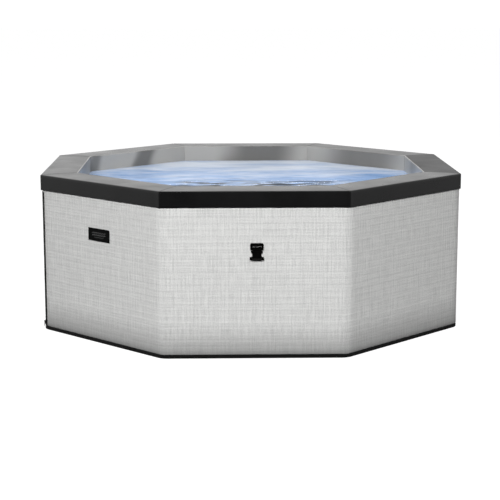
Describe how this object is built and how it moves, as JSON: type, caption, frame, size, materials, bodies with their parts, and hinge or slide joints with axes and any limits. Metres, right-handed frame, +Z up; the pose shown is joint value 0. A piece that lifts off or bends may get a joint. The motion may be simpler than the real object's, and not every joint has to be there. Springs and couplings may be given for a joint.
{
  "type": "portable hot tub",
  "caption": "Eight-sided portable hot tub with foam walls, padded rim, woven jacket, strap buckles and an equipment bay behind a hinged door.",
  "frame": {"origin": "on the ground at the middle of the tub's base", "axes": "+Z up; the buckle wall seen first faces -Y, and the equipment bay faces +Y"},
  "size_m": [1.869, 1.869, 0.692],
  "materials": {
    "jacket": "woven linen-look laminated cloth, matte",
    "rim_vinyl": "satin charcoal vinyl",
    "liner": "smooth grey laminated PVC, satin",
    "mat_black": "matte black mat",
    "foam": "closed-cell foam, matte",
    "zip": "woven zip tape",
    "zip_metal": "black lacquered metal",
    "badge": "black with a satin frame",
    "webbing": "black woven webbing",
    "buckle": "satin black acetal",
    "air_channel": "welded grey PVC",
    "fitting": "light grey moulded plastic",
    "gasket": "black rubber",
    "filter_paper": "white pleated filter fleece",
    "drain": "dark grey moulded plastic",
    "case": "charcoal moulded plastic, fine texture",
    "case_trim": "black moulded plastic",
    "panel": "black glossy fascia",
    "button": "soft grey rubber",
    "motor": "dark grey painted casting",
    "pump": "dark moulded plastic",
    "pump_rotor": "natural nylon",
    "steel": "brushed stainless steel",
    "board": "green circuit board",
    "hose": "grey flexible hose",
    "water": "clear pool water"
  },
  "bodies": {
    "tub": {"ground_mat": "mat_black", "floor_foam": "foam", "liner": "liner", "outer_jacket": "jacket", "wall_boards": "foam", "wall_board_back": "foam", "rim_cover": "rim_vinyl", "zip_tape": "zip", "badge": "badge", "buckle_webbing": "webbing", "buckle_sockets": "buckle", "bubble_channel": "air_channel", "suction_fitting": "fitting", "return_fitting": "fitting", "fitting_gaskets": "gasket", "fitting_nuts": "fitting", "drain_valve": "drain", "equipment_case": "case", "hinge_pins": "steel", "pump_motor": "motor", "pump_housing": "pump", "heater": "steel", "blower_housing": "pump", "control_board": "board", "cable_gland": "case_trim", "hoses": "hose", "control_panel": "panel", "rim_pad_right": "foam", "rim_pad_back_right": "foam", "rim_pad_back": "foam", "rim_pad_back_left": "foam", "rim_pad_left": "foam", "rim_pad_front_left": "foam", "rim_pad_front": "foam", "rim_pad_front_right": "foam"},
    "zip_slider_body": {"zip_slider": "zip_metal"},
    "zip_pull_body": {"zip_pull": "zip_metal"},
    "door": {"service_door": "case"},
    "door_latch_body": {"door_latch": "case_trim"},
    "drain_cap_body": {"drain_cap": "drain"},
    "filter_cap_body": {"filter_cap": "fitting"},
    "filter_cartridge_body": {"filter_cartridge": "filter_paper"},
    "rotor": {"pump_rotor": "pump_rotor"},
    "fan": {"blower_fan": "pump_rotor"},
    "plug_front": {"buckle_plug_front": "buckle"},
    "prong_front_a": {"buckle_prong_front_a": "buckle"},
    "prong_front_b": {"buckle_prong_front_b": "buckle"},
    "plug_left": {"buckle_plug_left": "buckle"},
    "prong_left_a": {"buckle_prong_left_a": "buckle"},
    "prong_left_b": {"buckle_prong_left_b": "buckle"},
    "plug_right": {"buckle_plug_right": "buckle"},
    "prong_right_a": {"buckle_prong_right_a": "buckle"},
    "prong_right_b": {"buckle_prong_right_b": "buckle"},
    "plug_back": {"buckle_plug_back": "buckle"},
    "prong_back_a": {"buckle_prong_back_a": "buckle"},
    "prong_back_b": {"buckle_prong_back_b": "buckle"},
    "power_button": {"button_power": "button"},
    "heat_button": {"button_heat": "button"},
    "filter_button": {"button_filter": "button"},
    "bubbles_button": {"button_bubbles": "button"}
  },
  "joints": [
    {"name": "zip_slide", "type": "slide", "parent": "tub", "child": "zip_slider_body", "axis": [0, 0, 1], "range_m": [0, 0.57]},
    {"name": "zip_pull_swing", "type": "hinge", "parent": "zip_slider_body", "child": "zip_pull_body", "pos_m": [-0.92482, -0.37737, 0.0345], "axis": [-0.309, 0.9511, 0], "range_deg": [0, 120]},
    {"name": "door_hinge", "type": "hinge", "parent": "tub", "child": "door", "pos_m": [-0.243, 0.927, 0.33], "axis": [0, 0, 1], "range_deg": [0, 110]},
    {"name": "latch_turn", "type": "hinge", "parent": "door", "child": "door_latch_body", "pos_m": [0.205, 0.9288, 0.33], "axis": [0, 1, 0], "range_deg": [-90, 0]},
    {"name": "drain_cap_off", "type": "slide", "parent": "tub", "child": "drain_cap_body", "axis": [-0.7071, 0.7071, 0], "range_m": [0, 0.03]},
    {"name": "filter_cap_off", "type": "slide", "parent": "tub", "child": "filter_cap_body", "axis": [0, -1, 0], "range_m": [0, 0.2]},
    {"name": "filter_cartridge_off", "type": "slide", "parent": "tub", "child": "filter_cartridge_body", "axis": [0, -1, 0], "range_m": [0, 0.1]},
    {"name": "rotor_spin", "type": "hinge", "parent": "tub", "child": "rotor", "pos_m": [-0.06, 0.862, 0.178], "axis": [1, 0, 0], "continuous": true},
    {"name": "fan_spin", "type": "hinge", "parent": "tub", "child": "fan", "pos_m": [0.13, 0.86, 0.435], "axis": [0, 1, 0], "continuous": true},
    {"name": "buckle_front_open", "type": "slide", "parent": "tub", "child": "plug_front", "axis": [0, 0, 1], "range_m": [0, 0.04]},
    {"name": "buckle_front_squeeze_a", "type": "hinge", "parent": "plug_front", "child": "prong_front_a", "pos_m": [-0.0065, -0.9295, 0.4482], "axis": [0, -1, 0], "range_deg": [0, 7], "stiffness_Nm_per_rad": 0.02},
    {"name": "buckle_front_squeeze_b", "type": "hinge", "parent": "plug_front", "child": "prong_front_b", "pos_m": [0.0225, -0.9295, 0.4482], "axis": [0, -1, 0], "range_deg": [-7, 0], "stiffness_Nm_per_rad": 0.02},
    {"name": "buckle_left_open", "type": "slide", "parent": "tub", "child": "plug_left", "axis": [0, 0, 1], "range_m": [0, 0.04]},
    {"name": "buckle_left_squeeze_a", "type": "hinge", "parent": "plug_left", "child": "prong_left_a", "pos_m": [-0.9295, 0.0065, 0.4482], "axis": [-1, 0, 0], "range_deg": [0, 7], "stiffness_Nm_per_rad": 0.02},
    {"name": "buckle_left_squeeze_b", "type": "hinge", "parent": "plug_left", "child": "prong_left_b", "pos_m": [-0.9295, -0.0225, 0.4482], "axis": [-1, 0, 0], "range_deg": [-7, 0], "stiffness_Nm_per_rad": 0.02},
    {"name": "buckle_right_open", "type": "slide", "parent": "tub", "child": "plug_right", "axis": [0, 0, 1], "range_m": [0, 0.04]},
    {"name": "buckle_right_squeeze_a", "type": "hinge", "parent": "plug_right", "child": "prong_right_a", "pos_m": [0.9295, -0.0065, 0.4482], "axis": [1, 0, 0], "range_deg": [0, 7], "stiffness_Nm_per_rad": 0.02},
    {"name": "buckle_right_squeeze_b", "type": "hinge", "parent": "plug_right", "child": "prong_right_b", "pos_m": [0.9295, 0.0225, 0.4482], "axis": [1, 0, 0], "range_deg": [-7, 0], "stiffness_Nm_per_rad": 0.02},
    {"name": "buckle_back_open", "type": "slide", "parent": "tub", "child": "plug_back", "axis": [0, 0, 1], "range_m": [0, 0.04]},
    {"name": "buckle_back_squeeze_a", "type": "hinge", "parent": "plug_back", "child": "prong_back_a", "pos_m": [-0.2815, 0.9295, 0.4482], "axis": [0, 1, 0], "range_deg": [0, 7], "stiffness_Nm_per_rad": 0.02},
    {"name": "buckle_back_squeeze_b", "type": "hinge", "parent": "plug_back", "child": "prong_back_b", "pos_m": [-0.3105, 0.9295, 0.4482], "axis": [0, 1, 0], "range_deg": [-7, 0], "stiffness_Nm_per_rad": 0.02},
    {"name": "press_power", "type": "slide", "parent": "tub", "child": "power_button", "axis": [0, -1, 0], "range_m": [0, 0.0012], "stiffness_N_per_m": 200},
    {"name": "press_heat", "type": "slide", "parent": "tub", "child": "heat_button", "axis": [0, -1, 0], "range_m": [0, 0.0012], "stiffness_N_per_m": 200},
    {"name": "press_filter", "type": "slide", "parent": "tub", "child": "filter_button", "axis": [0, -1, 0], "range_m": [0, 0.0012], "stiffness_N_per_m": 200},
    {"name": "press_bubbles", "type": "slide", "parent": "tub", "child": "bubbles_button", "axis": [0, -1, 0], "range_m": [0, 0.0012], "stiffness_N_per_m": 200}
  ],
  "couplings": [
    {"joint": "filter_cartridge_off", "follows": "filter_cap_off", "ratio": 0.5},
    {"joint": "buckle_front_squeeze_b", "follows": "buckle_front_squeeze_a", "ratio": -1},
    {"joint": "buckle_left_squeeze_b", "follows": "buckle_left_squeeze_a", "ratio": -1},
    {"joint": "buckle_right_squeeze_b", "follows": "buckle_right_squeeze_a", "ratio": -1},
    {"joint": "buckle_back_squeeze_b", "follows": "buckle_back_squeeze_a", "ratio": -1}
  ]
}
